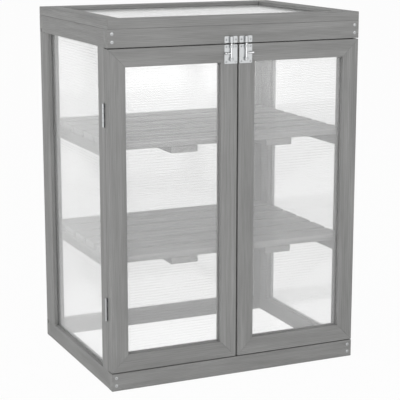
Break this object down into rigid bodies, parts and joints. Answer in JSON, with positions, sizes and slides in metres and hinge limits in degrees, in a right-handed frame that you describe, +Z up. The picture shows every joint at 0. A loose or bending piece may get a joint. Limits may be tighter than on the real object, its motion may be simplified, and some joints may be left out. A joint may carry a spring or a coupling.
{
  "type": "mini greenhouse",
  "caption": "Freestanding wooden mini greenhouse: a cabinet glazed with twin-wall sheet, with hinged front doors, barrel bolts and slatted shelves.",
  "frame": {"origin": "on the ground, at the middle of the object's bounding box in plan", "axes": "+Z up, the doors face -Y, +X is to the right as seen from the front"},
  "size_m": [0.5926, 0.4496, 0.78],
  "materials": {
    "grey_stained_wood": "softwood with a translucent grey water-based stain, matt, fine straight grain",
    "polycarbonate": "clear twin-wall polycarbonate sheet, slightly milky",
    "zinc_plated_steel": "bright zinc-plated pressed steel"
  },
  "bodies": {
    "cabinet": {"front_bottom_board": "grey_stained_wood", "front_top_board": "grey_stained_wood", "back_bottom_rail": "grey_stained_wood", "back_top_rail": "grey_stained_wood", "back_left_stile": "grey_stained_wood", "back_right_stile": "grey_stained_wood", "back_sheet": "polycarbonate", "roof_front_member": "grey_stained_wood", "roof_back_member": "grey_stained_wood", "roof_left_member": "grey_stained_wood", "roof_right_member": "grey_stained_wood", "roof_sheet": "polycarbonate", "left_side_front_stile": "grey_stained_wood", "left_side_back_stile": "grey_stained_wood", "left_side_bottom_rail": "grey_stained_wood", "left_side_top_rail": "grey_stained_wood", "left_side_sheet": "polycarbonate", "left_lower_hinge_frame_leaf": "zinc_plated_steel", "left_lower_hinge_pin": "zinc_plated_steel", "left_lower_cleat": "grey_stained_wood", "left_upper_hinge_frame_leaf": "zinc_plated_steel", "left_upper_hinge_pin": "zinc_plated_steel", "left_upper_cleat": "grey_stained_wood", "left_bolt_keeper": "zinc_plated_steel", "right_side_front_stile": "grey_stained_wood", "right_side_back_stile": "grey_stained_wood", "right_side_bottom_rail": "grey_stained_wood", "right_side_top_rail": "grey_stained_wood", "right_side_sheet": "polycarbonate", "right_lower_hinge_frame_leaf": "zinc_plated_steel", "right_lower_hinge_pin": "zinc_plated_steel", "right_lower_cleat": "grey_stained_wood", "right_upper_hinge_frame_leaf": "zinc_plated_steel", "right_upper_hinge_pin": "zinc_plated_steel", "right_upper_cleat": "grey_stained_wood", "right_bolt_keeper": "zinc_plated_steel", "lower_shelf": "grey_stained_wood", "upper_shelf": "grey_stained_wood"},
    "left_door": {"left_door_hinge_stile": "grey_stained_wood", "left_door_bolt_stile": "grey_stained_wood", "left_door_bottom_rail": "grey_stained_wood", "left_door_top_rail": "grey_stained_wood", "left_door_sheet": "polycarbonate", "left_lower_hinge_door_leaf": "zinc_plated_steel", "left_upper_hinge_door_leaf": "zinc_plated_steel", "left_bolt_plate": "zinc_plated_steel"},
    "left_bolt": {"left_bolt_rod": "zinc_plated_steel"},
    "right_door": {"right_door_hinge_stile": "grey_stained_wood", "right_door_bolt_stile": "grey_stained_wood", "right_door_bottom_rail": "grey_stained_wood", "right_door_top_rail": "grey_stained_wood", "right_door_sheet": "polycarbonate", "right_lower_hinge_door_leaf": "zinc_plated_steel", "right_upper_hinge_door_leaf": "zinc_plated_steel", "right_bolt_plate": "zinc_plated_steel"},
    "right_bolt": {"right_bolt_rod": "zinc_plated_steel"}
  },
  "joints": [
    {"name": "left_door_hinge", "type": "hinge", "parent": "cabinet", "child": "left_door", "pos_m": [-0.2935, -0.19366, 0.3805], "axis": [0, 0, -1], "range_deg": [0, 180]},
    {"name": "left_bolt_slide", "type": "slide", "parent": "left_door", "child": "left_bolt", "axis": [0, 0, 1], "range_m": [-0.006, 0.009]},
    {"name": "right_door_hinge", "type": "hinge", "parent": "cabinet", "child": "right_door", "pos_m": [0.2935, -0.19366, 0.3805], "axis": [0, 0, 1], "range_deg": [0, 180]},
    {"name": "right_bolt_slide", "type": "slide", "parent": "right_door", "child": "right_bolt", "axis": [0, 0, 1], "range_m": [-0.006, 0.009]}
  ]
}
